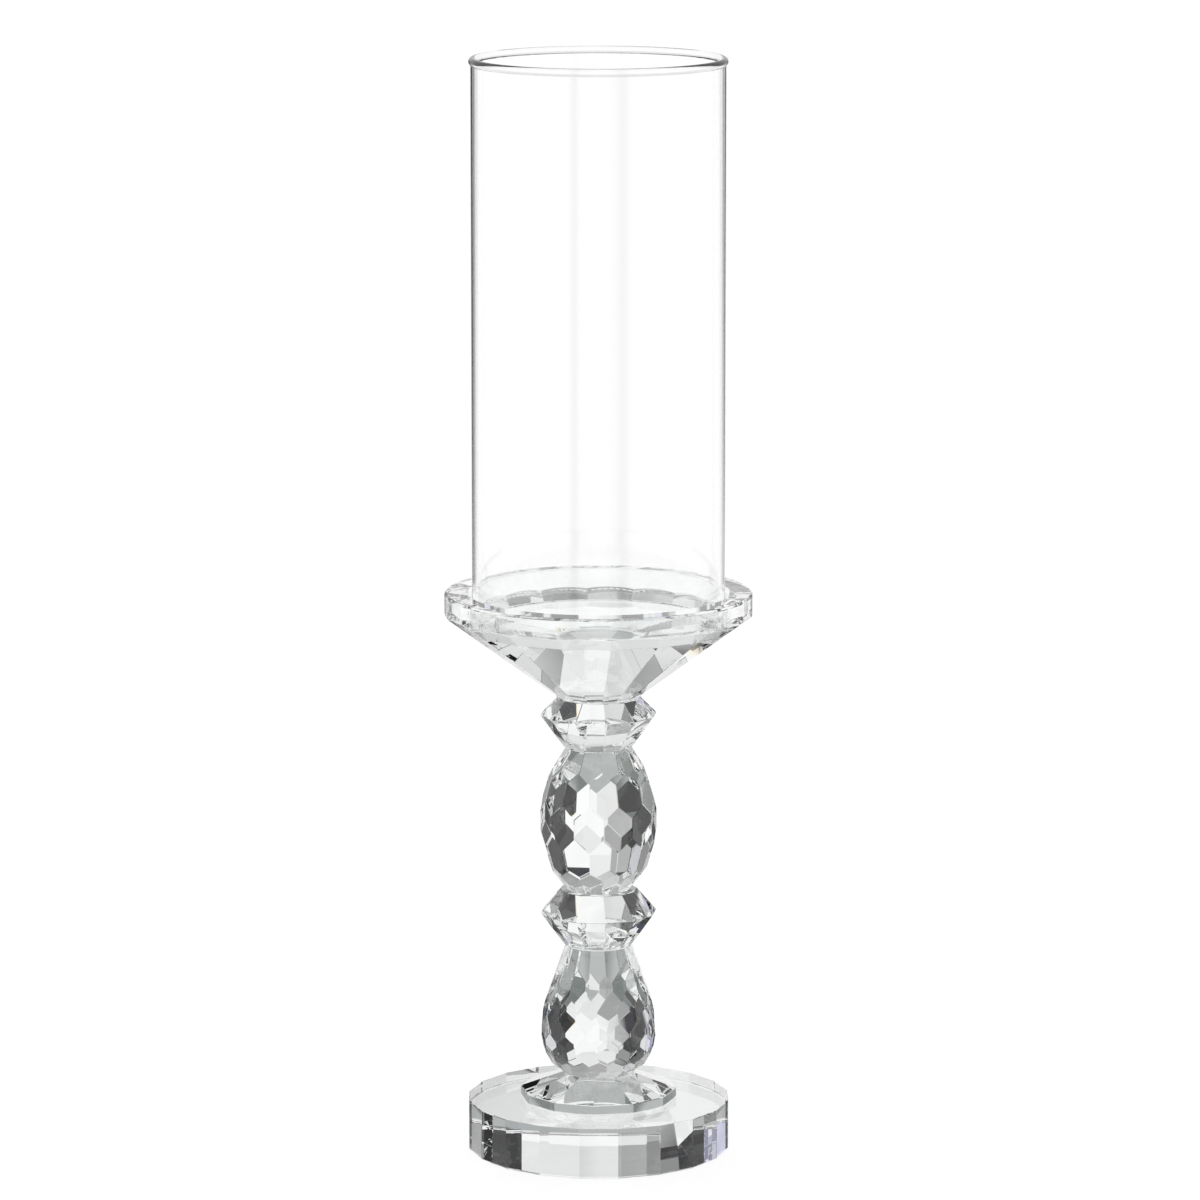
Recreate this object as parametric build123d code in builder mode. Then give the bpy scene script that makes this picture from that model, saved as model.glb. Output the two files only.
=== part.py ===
from build123d import *
from math import atan2, cos, degrees, radians, sin, tan
import os

# Crystal hurricane candle lantern: a clear glass cylinder shade standing in the round recess of
# a cut crystal cup, on a stem of cut crystal beads and collars, a flared foot and a thick base.
# Every crystal piece is bonded to the next by a thin clear film of adhesive.
# Millimetres, +Z up. The origin is the centre of the underside, where the lantern stands.
# Turn angles are measured round the stem from the front (-Y) towards the right (+X).

# ---- heights up the stem, each piece from its bottom face to its top face ----
base_height = 20.0
foot_top = 30.2
pear_top = 82.0
lower_collar_top = 104.2
oval_top = 161.3
upper_collar_top = 181.2
cup_top = 223.0
shade_top = 432.0
bond_thickness = 0.2

# ---- base disc: twenty upright sides ----
base_sides = 20
base_corner_radius = 51.8
base_turn = 9.6
base_bottom_chamfer = 0.7

# ---- foot: twelve sides, a low upright band under a flat cone ----
foot_sides = 12
foot_corner_radius = 30.8
foot_band_height = 3.6
foot_top_radius = 12.9
foot_turn = -4.0

# ---- beads: rows of flat facets, each row turned half a facet from the one above ----
# A row, from the top one down: the radius and height where its facets touch, and how far they tilt.
pear_facets = 16
pear_turn = -1.5
pear_rows = (
    (12.9, 82.0, 19.5),
    (20.45, 60.0, 12.5),
    (22.2, 51.0, 3.5),
    (21.8, 43.0, -10),
    (19.3, 36.0, -29),
)
pear_heel = (16.9, 33.0, -50)
oval_facets = 12
oval_turn = -9.5
oval_rows = (
    (16.3, 155.0, 31),
    (20.9, 143.0, 16.5),
    (22.15, 132.0, 0),
    (20.2, 119.0, -16),
    (14.9, 108.0, -37),
)

# ---- collars: twelve sides, a crown over a deeper pavilion that flares in two stages ----
collar_sides = 12
collar_turn = 7.3
collar_bottom_radius = 13.6
collar_step_radius = 18.1
collar_girdle_radius = 23.0
collar_step_height = 6.1
collar_girdle_height = 13.0
lower_collar_top_radius = 15.2
upper_collar_top_radius = 16.3

# ---- cup: round rim, round recess, eighteen flat facets cut into the cone below ----
cup_facets = 18
cup_turn = 5.0
cup_rim_radius = 60.3
cup_facet_top = 215.0
cup_facet_slope = 36.9
cup_heel_radius = 16.7
cup_heel_chamfer = 0.6
recess_radius = 51.3
recess_floor = 210.7
rim_outer_chamfer = 0.8

# ---- shade: plain glass cylinder, open at both ends ----
shade_radius = 49.4
shade_wall = 2.5
lip_proud = 0.8
shade_foot_chamfer = 0.4

# ---- adhesive films: each a little smaller than the two faces that it joins ----
cup_bond_radius = 15.0
upper_collar_bond_radius = 11.6
oval_bond_radius = 11.4
lower_collar_bond_radius = 12.4
pear_bond_radius = 12.2
foot_bond_radius = 29.2

# ---- how far a rough blank stands outside its finished facets ----
blank_margin = 3.0


def corner_to_flat(corner_radius, sides):
    """Distance from the axis to the middle of a side, given the distance to a corner."""
    return corner_radius * cos(radians(180 / sides))


def facet_tilt(narrowing, rise):
    """Tilt of a facet that narrows by so much over a rise: positive faces upward."""
    return degrees(atan2(narrowing, rise))


def cut_facets(count, turn, radius, height, tilt):
    """Grind a row of flat facets. Each touches (radius, height) and faces tilt degrees above level."""
    for step in range(count):
        around = radians(turn + step * 360 / count - 90)
        across = cos(radians(tilt))
        facing = (across * cos(around), across * sin(around), sin(radians(tilt)))
        touch = (radius * cos(around), radius * sin(around), height)
        split(bisect_by=Plane(origin=touch, z_dir=facing), keep=Keep.BOTTOM)


def cut_rows(count, turn, rows):
    """Grind staggered rows of facets, from the top row down."""
    for row, (radius, height, tilt) in enumerate(rows):
        cut_facets(count, turn + row % 2 * 180 / count, radius, height, tilt)


def rough_blank(radius, bottom, top):
    """Round blank that a faceted piece is ground from."""
    with BuildSketch(Plane.XY.offset(bottom)) as outline:
        Circle(radius + blank_margin)
    extrude(outline.sketch, amount=top - bottom)


def bond_disc(bottom, radius):
    """Thin round film of adhesive lying on top of the piece below it."""
    with BuildPart() as disc:
        with BuildSketch(Plane.XY.offset(bottom)):
            Circle(radius)
        extrude(amount=bond_thickness)
    return disc


def collar(bottom, top, top_radius):
    """Twelve-sided collar between two heights, given its radii at the corners."""
    levels = (
        (bottom, collar_bottom_radius),
        (bottom + collar_step_height, collar_step_radius),
        (bottom + collar_girdle_height, collar_girdle_radius),
        (top, top_radius),
    )
    with BuildPart() as ring:
        for height, corner_radius in levels:
            with BuildSketch(Plane.XY.offset(height)):
                RegularPolygon(corner_radius, collar_sides, rotation=collar_turn - 90)
        loft(ruled=True)
    return ring


os.makedirs("parts", exist_ok=True)

# ---- base disc ----
with BuildPart() as base_disc:
    with BuildSketch():
        RegularPolygon(base_corner_radius, base_sides, rotation=base_turn - 90)
    extrude(amount=base_height)
    underside = base_disc.faces().sort_by(Axis.Z)[0]
    chamfer(underside.edges(), base_bottom_chamfer)

# ---- foot ----
foot_bottom = base_height + bond_thickness
with BuildPart() as foot_cone:
    rough_blank(foot_corner_radius, foot_bottom, foot_top)
    foot_flat = corner_to_flat(foot_corner_radius, foot_sides)
    foot_shoulder = foot_bottom + foot_band_height
    foot_narrowing = foot_flat - corner_to_flat(foot_top_radius, foot_sides)
    foot_tilt = facet_tilt(foot_narrowing, foot_top - foot_shoulder)
    foot_facet_turn = foot_turn + 180 / foot_sides
    cut_facets(foot_sides, foot_facet_turn, foot_flat, foot_shoulder, 0)
    cut_facets(foot_sides, foot_facet_turn, foot_flat, foot_shoulder, foot_tilt)

# ---- pear bead: long neck facets, then rows of hexagons round the bulb ----
with BuildPart() as pear_bead:
    rough_blank(pear_rows[2][0], foot_top + bond_thickness, pear_top)
    cut_rows(pear_facets, pear_turn, pear_rows)
    cut_facets(pear_facets, pear_turn, *pear_heel)

# ---- oval bead: five staggered rows, the facets growing from hexagons round the middle ----
with BuildPart() as oval_bead:
    rough_blank(oval_rows[2][0], lower_collar_top + bond_thickness, oval_top)
    cut_rows(oval_facets, oval_turn, oval_rows)

# ---- collars ----
lower_collar = collar(pear_top + bond_thickness, lower_collar_top, lower_collar_top_radius)
upper_collar = collar(oval_top + bond_thickness, upper_collar_top, upper_collar_top_radius)

# ---- candle cup ----
cup_bottom = upper_collar_top + bond_thickness
with BuildPart() as candle_cup:
    cone_depth = (cup_rim_radius - cup_heel_radius) * tan(radians(cup_facet_slope))
    cone_bottom = cup_facet_top - cone_depth
    with BuildSketch(Plane.XY.offset(cone_bottom)):
        Circle(cup_rim_radius)
    extrude(amount=cup_top - cone_bottom)
    cup_facet_turn = cup_turn + 180 / cup_facets
    cut_facets(cup_facets, cup_facet_turn, cup_rim_radius, cup_facet_top, cup_facet_slope - 90)
    with BuildSketch(Plane.XY.offset(cup_bottom)):
        RegularPolygon(cup_heel_radius, cup_facets, major_radius=False, rotation=cup_turn - 90)
    extrude(amount=cone_bottom - cup_bottom)
    heel_edges = candle_cup.faces().sort_by(Axis.Z)[0].edges()
    chamfer(heel_edges, cup_heel_chamfer)
    with BuildSketch(Plane.XY.offset(cup_top)):
        Circle(recess_radius)
    extrude(amount=recess_floor - cup_top, mode=Mode.SUBTRACT)
    rim_edges = candle_cup.edges().filter_by(GeomType.CIRCLE).group_by(Axis.Z)[-1].sort_by(SortBy.RADIUS)
    chamfer(rim_edges[-1], rim_outer_chamfer)

# ---- hurricane shade: straight tube with a round bead for a lip, flush inside ----
shade_inner = shade_radius - shade_wall
lip_radius = (shade_wall + lip_proud) / 2
with BuildPart() as hurricane_shade:
    with BuildSketch(Plane.XZ):
        with BuildLine():
            Polyline(
                (shade_inner, recess_floor),
                (shade_radius, recess_floor),
                (shade_radius, shade_top - lip_radius),
                (shade_inner, shade_top - lip_radius),
                close=True,
            )
        make_face()
        with Locations((shade_inner + lip_radius, shade_top - lip_radius)):
            Circle(lip_radius)
    revolve(axis=Axis.Z)
    shade_foot = hurricane_shade.faces().sort_by(Axis.Z)[0]
    chamfer(shade_foot.edges(), shade_foot_chamfer)

pieces = {
    "hurricane_shade": hurricane_shade,
    "candle_cup": candle_cup,
    "upper_collar": upper_collar,
    "oval_bead": oval_bead,
    "lower_collar": lower_collar,
    "pear_bead": pear_bead,
    "foot_cone": foot_cone,
    "base_disc": base_disc,
    "cup_bond": bond_disc(upper_collar_top, cup_bond_radius),
    "upper_collar_bond": bond_disc(oval_top, upper_collar_bond_radius),
    "oval_bond": bond_disc(lower_collar_top, oval_bond_radius),
    "lower_collar_bond": bond_disc(pear_top, lower_collar_bond_radius),
    "pear_bond": bond_disc(foot_top, pear_bond_radius),
    "foot_bond": bond_disc(base_height, foot_bond_radius),
}
for name, piece in pieces.items():
    piece.part.label = name
    export_step(piece.part, f"parts/{name}.step")
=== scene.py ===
import math

import bmesh
import bpy
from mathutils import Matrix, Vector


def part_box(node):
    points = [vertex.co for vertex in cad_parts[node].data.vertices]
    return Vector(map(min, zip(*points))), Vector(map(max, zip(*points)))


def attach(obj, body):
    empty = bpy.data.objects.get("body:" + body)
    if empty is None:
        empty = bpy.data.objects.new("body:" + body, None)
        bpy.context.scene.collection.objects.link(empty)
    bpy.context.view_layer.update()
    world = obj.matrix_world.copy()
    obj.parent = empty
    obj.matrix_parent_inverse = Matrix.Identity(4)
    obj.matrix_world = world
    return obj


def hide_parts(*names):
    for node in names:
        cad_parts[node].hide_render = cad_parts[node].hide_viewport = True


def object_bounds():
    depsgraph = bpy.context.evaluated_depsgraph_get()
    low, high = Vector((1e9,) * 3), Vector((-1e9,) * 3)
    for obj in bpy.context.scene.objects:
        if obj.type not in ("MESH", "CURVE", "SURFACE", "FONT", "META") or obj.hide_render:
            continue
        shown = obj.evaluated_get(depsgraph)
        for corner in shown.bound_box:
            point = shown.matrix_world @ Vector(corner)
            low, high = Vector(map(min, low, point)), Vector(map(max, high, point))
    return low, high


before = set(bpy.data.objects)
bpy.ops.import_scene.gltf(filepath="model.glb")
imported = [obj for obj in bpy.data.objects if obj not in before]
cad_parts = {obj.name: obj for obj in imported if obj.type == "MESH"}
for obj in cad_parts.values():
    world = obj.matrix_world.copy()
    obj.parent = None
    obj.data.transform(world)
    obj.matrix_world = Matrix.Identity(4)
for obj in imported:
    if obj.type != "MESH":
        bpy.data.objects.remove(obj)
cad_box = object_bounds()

# Crystal hurricane candle lantern. The CAD pieces keep their shape: each one is rebuilt here as a
# clean mesh of whole facets with finely polished edges, and the glass tube is turned anew.

MM = 0.001
TOP = cad_box[1].z

# ---- mesh detail ----
SAME_PLACE = 0.05 * MM
SAME_CORNER = 0.001 * MM
SAME_FACET = math.radians(0.5)
LEVEL = 0.99  # least upward share of the normal of a level face
ARRIS = 0.16 * MM  # width that polishing takes off each cut edge
LEAST_EDGE_ANGLE = math.radians(4)
CUP_SMOOTH_ANGLE = math.radians(7)
TUBE_SMOOTH_ANGLE = math.radians(40)
JOINT_STEPS = 96
TUBE_STEPS = 256
LIP_STEPS = 24

# ---- shade: the same section as the CAD tube ----
SHADE_WALL = 2.5 * MM
LIP_PROUD = 0.8 * MM
FOOT_CHAMFER = 0.4 * MM
FOOT_CLEARANCE = 0.04 * MM

# ---- glass ----
CRYSTAL_IOR = 1.52
SHADE_IOR = 1.50

# ---- studio: the floor, the flat cards on it, and the upright cards round it ----
FLOOR_HALF = 30.0
FLOOR_DROP = 0.3 * MM
FLOOR_TONE = 0.12
FLOOR_GLOW = 0.88
CARD_STEPS = 96
FLAT_CARD_HEIGHT = 0.05 * MM
DULL_CARD_HEIGHT = 0.02 * MM
NEAR_START = 0.053
NEAR_EDGE = 0.105
FLOOR_EDGE = 0.150
DULL_EDGE = 0.20
RAISED_HEIGHT = 0.095
RAISED_START = 0.045
RAISED_EDGE = 0.100
CARD_RADIUS = 0.35
WINDOW_TOP = 0.086
CUP_START = 0.125
CARD_TOP = 0.15
TALL_RADIUS = 0.60
TALL_TOP = 0.45
HIGH_TOP = 1.00

# ---- sky: degrees above level where its tones start and change ----
SKY_START = 4
UPPER_FROM = 9.5
UPPER_FULL = 13
OVERHEAD_FROM = 15
OVERHEAD_FULL = 21

# ---- light that has come straight through both walls of the glass tube ----
TUBE_CROSSINGS = 4

# ---- camera ----
CAMERA_DISTANCE = 2.412
CAMERA_RISE = 0.0928 * CAMERA_DISTANCE  # above the lip of the shade
CAMERA_DROP = math.radians(10.25)
CAMERA_SIDE = 0.0006
CAMERA_LENS = 188.16
CAMERA_SENSOR = 36.0
CAMERA_REACH = 100

# ---- how many times light may cross or bounce off glass ----
CROSSINGS = 32
BOUNCES = 16


# ================================================================ node helpers
class Nodes:
    """Short ways to add and join nodes of one material or world."""

    def __init__(self, owner):
        owner.use_nodes = True
        self.tree = owner.node_tree

    def add(self, kind, **settings):
        node = self.tree.nodes.new(kind)
        for key, value in settings.items():
            setattr(node, key, value)
        return node

    def join(self, source, target):
        self.tree.links.new(source, target)

    def math(self, operation, *values):
        node = self.add("ShaderNodeMath", operation=operation)
        for socket, value in zip(node.inputs, values):
            if isinstance(value, (int, float)):
                socket.default_value = value
            else:
                self.join(value, socket)
        return node.outputs[0]

    def ramp(self, value, stops):
        node = self.add("ShaderNodeValToRGB")
        self.join(value, node.inputs[0])
        elements = node.color_ramp.elements
        while len(elements) > 1:
            elements.remove(elements[0])
        for number, (place, tone) in enumerate(stops):
            element = elements[0] if number == 0 else elements.new(place)
            element.position = place
            element.color = (*tone, 1)
        return node.outputs[0]

    def mix(self, factor, first, second, blend="MIX"):
        node = self.add("ShaderNodeMix", data_type="RGBA", blend_type=blend)
        for socket, value in zip((node.inputs[0], node.inputs[6], node.inputs[7]), (factor, first, second)):
            if isinstance(value, (int, float)):
                socket.default_value = value
            elif isinstance(value, tuple):
                socket.default_value = (*value, 1)
            else:
                self.join(value, socket)
        return node.outputs[2]

    def noise(self, scale, detail, stretch=(1, 1, 1)):
        """Noise in the object's own metres."""
        place = self.add("ShaderNodeTexCoord").outputs["Object"]
        mapping = self.add("ShaderNodeMapping")
        mapping.inputs["Scale"].default_value = stretch
        self.join(place, mapping.inputs["Vector"])
        noise = self.add("ShaderNodeTexNoise")
        noise.inputs["Scale"].default_value = scale
        noise.inputs["Detail"].default_value = detail
        self.join(mapping.outputs[0], noise.inputs["Vector"])
        return noise.outputs["Fac"]


def grey(level):
    return (level, level, level)


# ================================================================ materials
def glass(name, ior, pale, deep, tint_noise, ripple_noise, ripple):
    """Clear glass whose tint varies a little and whose polish has a very faint ripple."""
    material = bpy.data.materials.new(name)
    nodes = Nodes(material)
    shader = nodes.tree.nodes["Principled BSDF"]
    shader.inputs["Transmission Weight"].default_value = 1.0
    shader.inputs["IOR"].default_value = ior
    shader.inputs["Roughness"].default_value = 0.0
    nodes.join(nodes.mix(nodes.noise(*tint_noise), pale, deep), shader.inputs["Base Color"])
    bump = nodes.add("ShaderNodeBump")
    bump.inputs["Strength"].default_value = 1.0
    bump.inputs["Distance"].default_value = ripple
    nodes.join(nodes.noise(*ripple_noise), bump.inputs["Height"])
    nodes.join(bump.outputs[0], shader.inputs["Normal"])
    return material


def clear_joint(name):
    """Bonded faces have glass on both sides, so light goes straight through them."""
    material = bpy.data.materials.new(name)
    nodes = Nodes(material)
    nodes.tree.nodes.remove(nodes.tree.nodes["Principled BSDF"])
    clear = nodes.add("ShaderNodeBsdfTransparent")
    nodes.join(clear.outputs[0], nodes.tree.nodes["Material Output"].inputs["Surface"])
    return material


crystal = glass(
    "crystal", CRYSTAL_IOR, pale=(0.99, 0.997, 0.993), deep=(0.965, 0.985, 0.975),
    tint_noise=(35, 2), ripple_noise=(90, 1), ripple=0.002 * MM,
)
shade_glass = glass(
    "shade_glass", SHADE_IOR, pale=(0.997, 0.998, 0.997), deep=(0.994, 0.996, 0.995),
    tint_noise=(40, 2, (1, 1, 0.15)), ripple_noise=(70, 1, (1, 1, 0.08)), ripple=0.0015 * MM,
)
adhesive = glass(
    "adhesive", CRYSTAL_IOR, pale=(0.99, 0.99, 0.985), deep=(0.97, 0.97, 0.95),
    tint_noise=(200, 3), ripple_noise=(300, 2), ripple=0.01 * MM,
)
joint_face = clear_joint("joint_face")


# ================================================================ crystal pieces
def mesh_object(name, bm, materials):
    mesh = bpy.data.meshes.new(name)
    bm.normal_update()
    bm.to_mesh(mesh)
    bm.free()
    piece = bpy.data.objects.new(name, mesh)
    bpy.context.scene.collection.objects.link(piece)
    for material in materials:
        mesh.materials.append(material)
    return piece


def ring_of_verts(bm, radius, height, steps):
    turns = (step * math.tau / steps for step in range(steps))
    return [bm.verts.new((radius * math.cos(turn), radius * math.sin(turn), height)) for turn in turns]


def welded_copy(node):
    """The CAD solid with its coplanar triangles joined back into whole facets."""
    bm = bmesh.new()
    bm.from_mesh(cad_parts[node].data)
    bmesh.ops.remove_doubles(bm, verts=bm.verts, dist=SAME_CORNER)
    bmesh.ops.dissolve_limit(bm, angle_limit=SAME_FACET, verts=bm.verts, edges=bm.edges)
    bmesh.ops.recalc_face_normals(bm, faces=bm.faces)
    return bm


def polish_edges(bm):
    sharp = [edge for edge in bm.edges if edge.is_manifold and edge.calc_face_angle() > LEAST_EDGE_ANGLE]
    bmesh.ops.bevel(bm, geom=sharp, offset=ARRIS, segments=1, affect="EDGES", profile=0.5)


def mark_joint(bm, height, radius, facing):
    """Cuts the bonded round out of a flat end face and gives it the clear joint material."""
    ends = [
        face for face in bm.faces
        if face.normal.z * facing > LEVEL and abs(face.calc_center_median().z - height) < SAME_PLACE
    ]
    end = max(ends, key=lambda face: face.calc_area())
    outer_edges = list(end.edges)
    bmesh.ops.delete(bm, geom=[end], context="FACES_ONLY")
    ring = ring_of_verts(bm, radius, height, JOINT_STEPS)
    ring_edges = [bm.edges.new((ring[step - 1], ring[step])) for step in range(JOINT_STEPS)]
    filled = bmesh.ops.triangle_fill(bm, edges=outer_edges + ring_edges, use_beauty=True)
    for face in [item for item in filled["geom"] if isinstance(item, bmesh.types.BMFace)]:
        face.normal_update()
        if face.normal.z * facing < 0:
            face.normal_flip()
        if all(vert in ring for vert in face.verts):
            bmesh.ops.delete(bm, geom=[face], context="FACES_ONLY")
    joint = bm.faces.new(ring if facing > 0 else ring[::-1])
    joint.material_index = 1
    joint.normal_update()


bonds = {name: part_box(name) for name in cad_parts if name.endswith("_bond")}


def joints_of(node):
    """Height, radius and facing of every bonded round on this piece's end faces."""
    low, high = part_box(node)
    found = []
    for bond_low, bond_high in bonds.values():
        if abs(bond_low.z - high.z) < SAME_PLACE:
            found.append((high.z, bond_high.x, 1))
        if abs(bond_high.z - low.z) < SAME_PLACE:
            found.append((low.z, bond_high.x, -1))
    return found


def cut_stone(node):
    bm = welded_copy(node)
    polish_edges(bm)
    for height, radius, facing in joints_of(node):
        mark_joint(bm, height, radius, facing)
    piece = mesh_object("visual_" + node, bm, [crystal, joint_face])
    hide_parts(node)
    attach(piece, "stand")
    return piece


for node in ("upper_collar", "oval_bead", "lower_collar", "pear_bead", "foot_cone", "base_disc"):
    cut_stone(node)
cup = cut_stone("candle_cup")
cup.data.shade_smooth()
cup.data.set_sharp_from_angle(angle=CUP_SMOOTH_ANGLE)


# ================================================================ adhesive films
def bond_film(name, low, high):
    bm = bmesh.new()
    lower = ring_of_verts(bm, high.x, low.z, JOINT_STEPS)
    upper = ring_of_verts(bm, high.x, high.z, JOINT_STEPS)
    for step in range(JOINT_STEPS):
        side = bm.faces.new((lower[step - 1], lower[step], upper[step], upper[step - 1]))
        side.smooth = True
    for cap in (bm.faces.new(lower[::-1]), bm.faces.new(upper)):
        cap.material_index = 1
    film = mesh_object("visual_" + name, bm, [adhesive, joint_face])
    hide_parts(name)
    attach(film, "stand")


for name, (low, high) in bonds.items():
    bond_film(name, low, high)


# ================================================================ glass shade
def lathe(outline, steps, closed=True):
    """Turns an outline of (radius, height) points round the stem."""
    bm = bmesh.new()
    rings = [ring_of_verts(bm, radius, height, steps) for radius, height in outline]
    pairs = list(zip(rings, rings[1:] + rings[:1])) if closed else list(zip(rings, rings[1:]))
    for ring, following in pairs:
        for step in range(steps):
            bm.faces.new((ring[step - 1], ring[step], following[step], following[step - 1])).smooth = True
    bmesh.ops.recalc_face_normals(bm, faces=bm.faces)
    return bm


shade_low, shade_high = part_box("hurricane_shade")
outer = shade_high.x - LIP_PROUD
inner = outer - SHADE_WALL
lip = (SHADE_WALL + LIP_PROUD) / 2
lip_height = shade_high.z - lip
foot = shade_low.z + FOOT_CLEARANCE
section = [
    (inner, foot + FOOT_CHAMFER),
    (inner + FOOT_CHAMFER, foot),
    (outer - FOOT_CHAMFER, foot),
    (outer, foot + FOOT_CHAMFER),
]
lip_start = -math.acos((outer - inner - lip) / lip)
for step in range(LIP_STEPS + 1):
    turn = lip_start + (math.pi - lip_start) * step / LIP_STEPS
    section.append((inner + lip + lip * math.cos(turn), lip_height + lip * math.sin(turn)))
shade = mesh_object("visual_shade", lathe(section, TUBE_STEPS), [shade_glass])
shade.data.set_sharp_from_angle(angle=TUBE_SMOOTH_ANGLE)
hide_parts("hurricane_shade")
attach(shade, "shade")


# ================================================================ floor and studio
def stage_object(name, bm, material):
    stage = mesh_object(name, bm, [material])
    return stage


def floor_material():
    material = bpy.data.materials.new("floor")
    shader = Nodes(material).tree.nodes["Principled BSDF"]
    shader.inputs["Base Color"].default_value = (*grey(FLOOR_TONE), 1)
    shader.inputs["Roughness"].default_value = 0.9
    shader.inputs["Emission Color"].default_value = (1, 1, 1, 1)
    shader.inputs["Emission Strength"].default_value = FLOOR_GLOW
    return material


floor_bm = bmesh.new()
corners = ((-1, -1), (1, -1), (1, 1), (-1, 1))
floor_bm.faces.new([floor_bm.verts.new((x * FLOOR_HALF, y * FLOOR_HALF, -FLOOR_DROP)) for x, y in corners])
stage_object("floor", floor_bm, floor_material())

# Light and dark cards stand round the lantern, as for any photograph of glass, and only the glass
# shows them. Each tone stands at an angle in degrees from straight behind, towards the right, and the
# front half of the studio repeats the back half.
DARK = grey(0.045)
DULL = grey(0.62)
PALE = grey(0.82)
WHITE = grey(1.0)
SLATE = (0.17, 0.19, 0.18)
SEA = (0.45, 0.465, 0.46)
AMBER = (0.95, 0.72, 0.36)
NAVY = (0.07, 0.10, 0.33)
BLUE = (0.13, 0.18, 0.42)
LAVENDER = (0.68, 0.67, 0.87)
round_tones = (
    (-90, WHITE), (-80, WHITE), (-78, grey(0.55)), (-70, grey(0.45)), (-68, DARK), (-61, DARK),
    (-59, LAVENDER), (-52, LAVENDER), (-50, grey(0.8)), (-46, grey(0.8)), (-44, DARK), (-21, DARK),
    (-19.5, grey(0.42)), (-15, grey(0.5)), (-13, grey(0.76)), (-1.5, grey(0.90)), (0.5, WHITE),
    (19.4, WHITE), (19.8, AMBER), (20.2, DARK), (43, DARK), (46, grey(0.8)), (52, grey(0.8)),
    (54, DARK), (68, DARK), (70, grey(0.5)), (78, WHITE), (90, WHITE),
)
upper_tones = (
    (-90, grey(0.7)), (-80, grey(0.5)), (-70, grey(0.4)), (-68, DARK), (-62, DARK), (-60, LAVENDER),
    (-51, LAVENDER), (-48, grey(0.4)), (-44, DARK), (-21, DARK), (-19, grey(0.28)), (-13, grey(0.32)),
    (-4, grey(0.48)), (0, grey(0.8)), (19, grey(0.84)), (20, DARK), (43, DARK), (46, grey(0.4)),
    (53, grey(0.4)), (55, DARK), (68, DARK), (70, grey(0.4)), (80, grey(0.7)), (90, grey(0.7)),
)
cup_tones = (
    (-90, grey(0.6)), (-70, grey(0.4)), (-68, DARK), (-60, DARK), (-56, grey(0.6)), (-46, grey(0.6)),
    (-43, DARK), (-12, DARK), (-10, grey(0.5)), (-6, grey(0.8)), (10, WHITE), (11.5, DARK), (43, DARK),
    (46, grey(0.6)), (53, grey(0.6)), (56, DARK), (68, DARK), (72, grey(0.6)), (90, grey(0.6)),
)
overhead_tones = (
    (-90, grey(0.5)), (-35, grey(0.45)), (-31, grey(0.6)), (-6, grey(0.6)), (-4, grey(0.4)), (7, grey(0.4)),
    (9, grey(0.32)), (50, grey(0.32)), (60, grey(0.45)), (90, grey(0.5)),
)
floor_tones = (
    (-90, grey(0.45)), (-76, DARK), (-68, NAVY), (-66, LAVENDER), (-58, LAVENDER), (-56, NAVY), (-50, DARK),
    (-48, grey(0.6)), (-44, grey(0.5)), (-42, DARK), (-21, DARK), (-19.5, grey(0.3)), (-3, grey(0.38)),
    (-1, grey(0.8)), (20, grey(0.9)), (20.4, AMBER), (20.8, DARK), (48, DARK), (50, NAVY), (66, BLUE),
    (70, grey(0.45)), (90, grey(0.45)),
)
near_tones = (
    (-90, grey(0.50)), (-42, SLATE), (-14, SLATE), (-11, SEA), (11, SEA), (14, SLATE), (42, SLATE),
    (46, grey(0.50)), (90, grey(0.50)),
)
rim_tones = (
    (-90, WHITE), (-45, WHITE), (-30, grey(0.92)), (-27, grey(0.5)), (-24, DARK), (-21, DARK),
    (-18, grey(0.45)), (-10, grey(0.7)), (-6, WHITE), (16, WHITE), (19, grey(0.5)),
    (20.5, grey(0.2)), (23, grey(0.25)), (26, grey(0.7)), (28, WHITE), (90, WHITE),
)


def tone_round(nodes, direction, tones):
    """The tones by angle round the stem, once for each half turn."""
    parts = nodes.add("ShaderNodeSeparateXYZ")
    nodes.join(direction, parts.inputs[0])
    half_turns = nodes.math("DIVIDE", nodes.math("ARCTAN2", parts.outputs[0], parts.outputs[1]), math.pi)
    share = nodes.math("FRACT", nodes.math("ADD", half_turns, 2.5))
    return nodes.ramp(share, [(angle / 180 + 0.5, tone) for angle, tone in tones])


def card_material(name, tones, hidden_by_tube=False, bounced_only=False):
    """A glowing card. hidden_by_tube: clear to light that has crossed both walls of the glass tube, so
    that the tube stays clear. bounced_only: shows only to light that glass has also reflected."""
    material = bpy.data.materials.new(name)
    nodes = Nodes(material)
    nodes.tree.nodes.remove(nodes.tree.nodes["Principled BSDF"])
    surface = nodes.tree.nodes["Material Output"].inputs["Surface"]
    glow = nodes.add("ShaderNodeEmission")
    nodes.join(tone_round(nodes, nodes.add("ShaderNodeTexCoord").outputs["Object"], tones), glow.inputs[0])
    if not hidden_by_tube:
        nodes.join(glow.outputs[0], surface)
        return material
    path = nodes.add("ShaderNodeLightPath").outputs
    through_tube = nodes.math("COMPARE", path["Transmission Depth"], TUBE_CROSSINGS, 0.5)
    shows = nodes.math("SUBTRACT", 1, through_tube)
    if bounced_only:
        shows = nodes.math("MULTIPLY", shows, nodes.math("GREATER_THAN", path["Glossy Depth"], 0.5))
    choice = nodes.add("ShaderNodeMixShader")
    nodes.join(shows, choice.inputs[0])
    nodes.join(nodes.add("ShaderNodeBsdfTransparent").outputs[0], choice.inputs[1])
    nodes.join(glow.outputs[0], choice.inputs[2])
    nodes.join(choice.outputs[0], surface)
    return material


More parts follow.
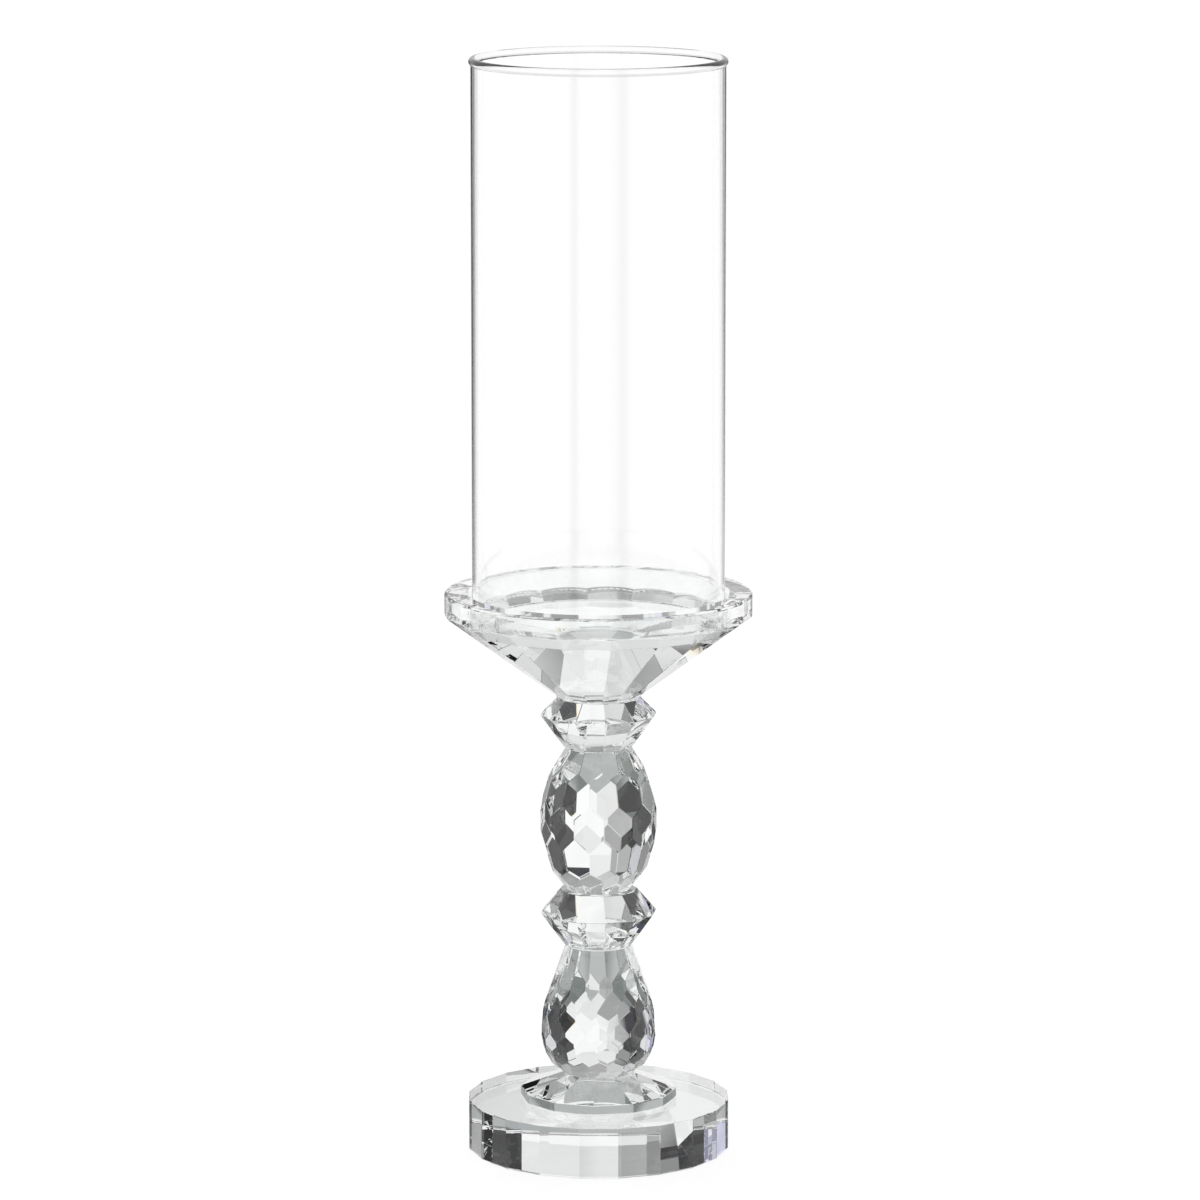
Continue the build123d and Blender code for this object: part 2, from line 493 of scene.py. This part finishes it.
def card(name, outline, material):
    screen = stage_object(name, lathe(outline, CARD_STEPS, closed=False), material)
    screen.visible_camera = False
    screen.visible_diffuse = False
    screen.visible_shadow = False
    screen.visible_volume_scatter = False


def flat_card(name, start, edge, height, material):
    card(name, [(start, height), (edge, height)], material)


def upright_card(name, radius, bottom, top, material):
    card(name, [(radius, bottom), (radius, top)], material)


near = card_material("near_cards", near_tones)
flat_card("near_card", NEAR_START, NEAR_EDGE, FLAT_CARD_HEIGHT, near)
flat_card("raised_card", RAISED_START, RAISED_EDGE, RAISED_HEIGHT, near)
dull = card_material("dull_card", ((-90, DULL), (90, DULL)))
flat_card("dull_card", NEAR_EDGE, DULL_EDGE, DULL_CARD_HEIGHT, dull)
coloured = card_material("floor_card", floor_tones, hidden_by_tube=True)
flat_card("floor_card", NEAR_EDGE, FLOOR_EDGE, FLAT_CARD_HEIGHT, coloured)
card(
    "round_card",
    [(FLOOR_EDGE, FLAT_CARD_HEIGHT), (CARD_RADIUS, FLAT_CARD_HEIGHT), (CARD_RADIUS, WINDOW_TOP)],
    card_material("round_card", round_tones, hidden_by_tube=True),
)
middle = card_material("upper_card", upper_tones, hidden_by_tube=True)
upright_card("upper_card", CARD_RADIUS, WINDOW_TOP, CUP_START, middle)
for_cup = card_material("cup_card", cup_tones, hidden_by_tube=True)
upright_card("cup_card", CARD_RADIUS, CUP_START, CARD_TOP, for_cup)
pale = card_material("high_card", ((-90, PALE), (90, PALE)))
upright_card("high_card", TALL_RADIUS, TALL_TOP, HIGH_TOP, pale)
for_rim = card_material("tall_card", rim_tones, hidden_by_tube=True, bounced_only=True)
upright_card("tall_card", TALL_RADIUS, 0, TALL_TOP, for_rim)

# Above the cards, glass sees the same tones again, then greyer ones overhead. All else sees plain white.
world = bpy.data.worlds.new("studio")
bpy.context.scene.world = world
sky = Nodes(world)
toward = sky.add("ShaderNodeTexCoord").outputs["Generated"]
split = sky.add("ShaderNodeSeparateXYZ")
sky.join(toward, split.inputs[0])
sky_height = split.outputs[2]


def sine(angle):
    return math.sin(math.radians(angle))


def risen(start, full):
    """Goes from 0 to 1 between two angles above level."""
    return sky.ramp(sky_height, [(sine(start), grey(0)), (sine(full), grey(1))])


low_sky = tone_round(sky, toward, round_tones)
upper_sky = sky.mix(risen(UPPER_FROM, UPPER_FULL), low_sky, tone_round(sky, toward, upper_tones))
overhead = tone_round(sky, toward, overhead_tones)
patterned_sky = sky.mix(risen(OVERHEAD_FROM, OVERHEAD_FULL), upper_sky, overhead)
rising = sky.math("GREATER_THAN", sky_height, sine(SKY_START))
sky_path = sky.add("ShaderNodeLightPath").outputs
in_glass = sky.math("MAXIMUM", sky_path["Is Transmission Ray"], sky_path["Is Glossy Ray"])
patterned = sky.math("MULTIPLY", rising, in_glass)
sky.join(sky.mix(patterned, WHITE, patterned_sky), sky.tree.nodes["Background"].inputs[0])

# ================================================================ camera
camera_data = bpy.data.cameras.new("camera")
camera_data.sensor_width = CAMERA_SENSOR
camera_data.lens = CAMERA_LENS
camera_data.clip_end = CAMERA_REACH
camera = bpy.data.objects.new("camera", camera_data)
bpy.context.scene.collection.objects.link(camera)
camera.location = (CAMERA_SIDE, -CAMERA_DISTANCE, TOP + CAMERA_RISE)
camera.rotation_euler = (math.pi / 2 - CAMERA_DROP, 0, 0)

scene = bpy.context.scene
scene.camera = camera
scene.view_settings.view_transform = "Standard"
scene.cycles.max_bounces = CROSSINGS
scene.cycles.transmission_bounces = CROSSINGS
scene.cycles.transparent_max_bounces = CROSSINGS
scene.cycles.glossy_bounces = BOUNCES
scene.cycles.use_denoising = True
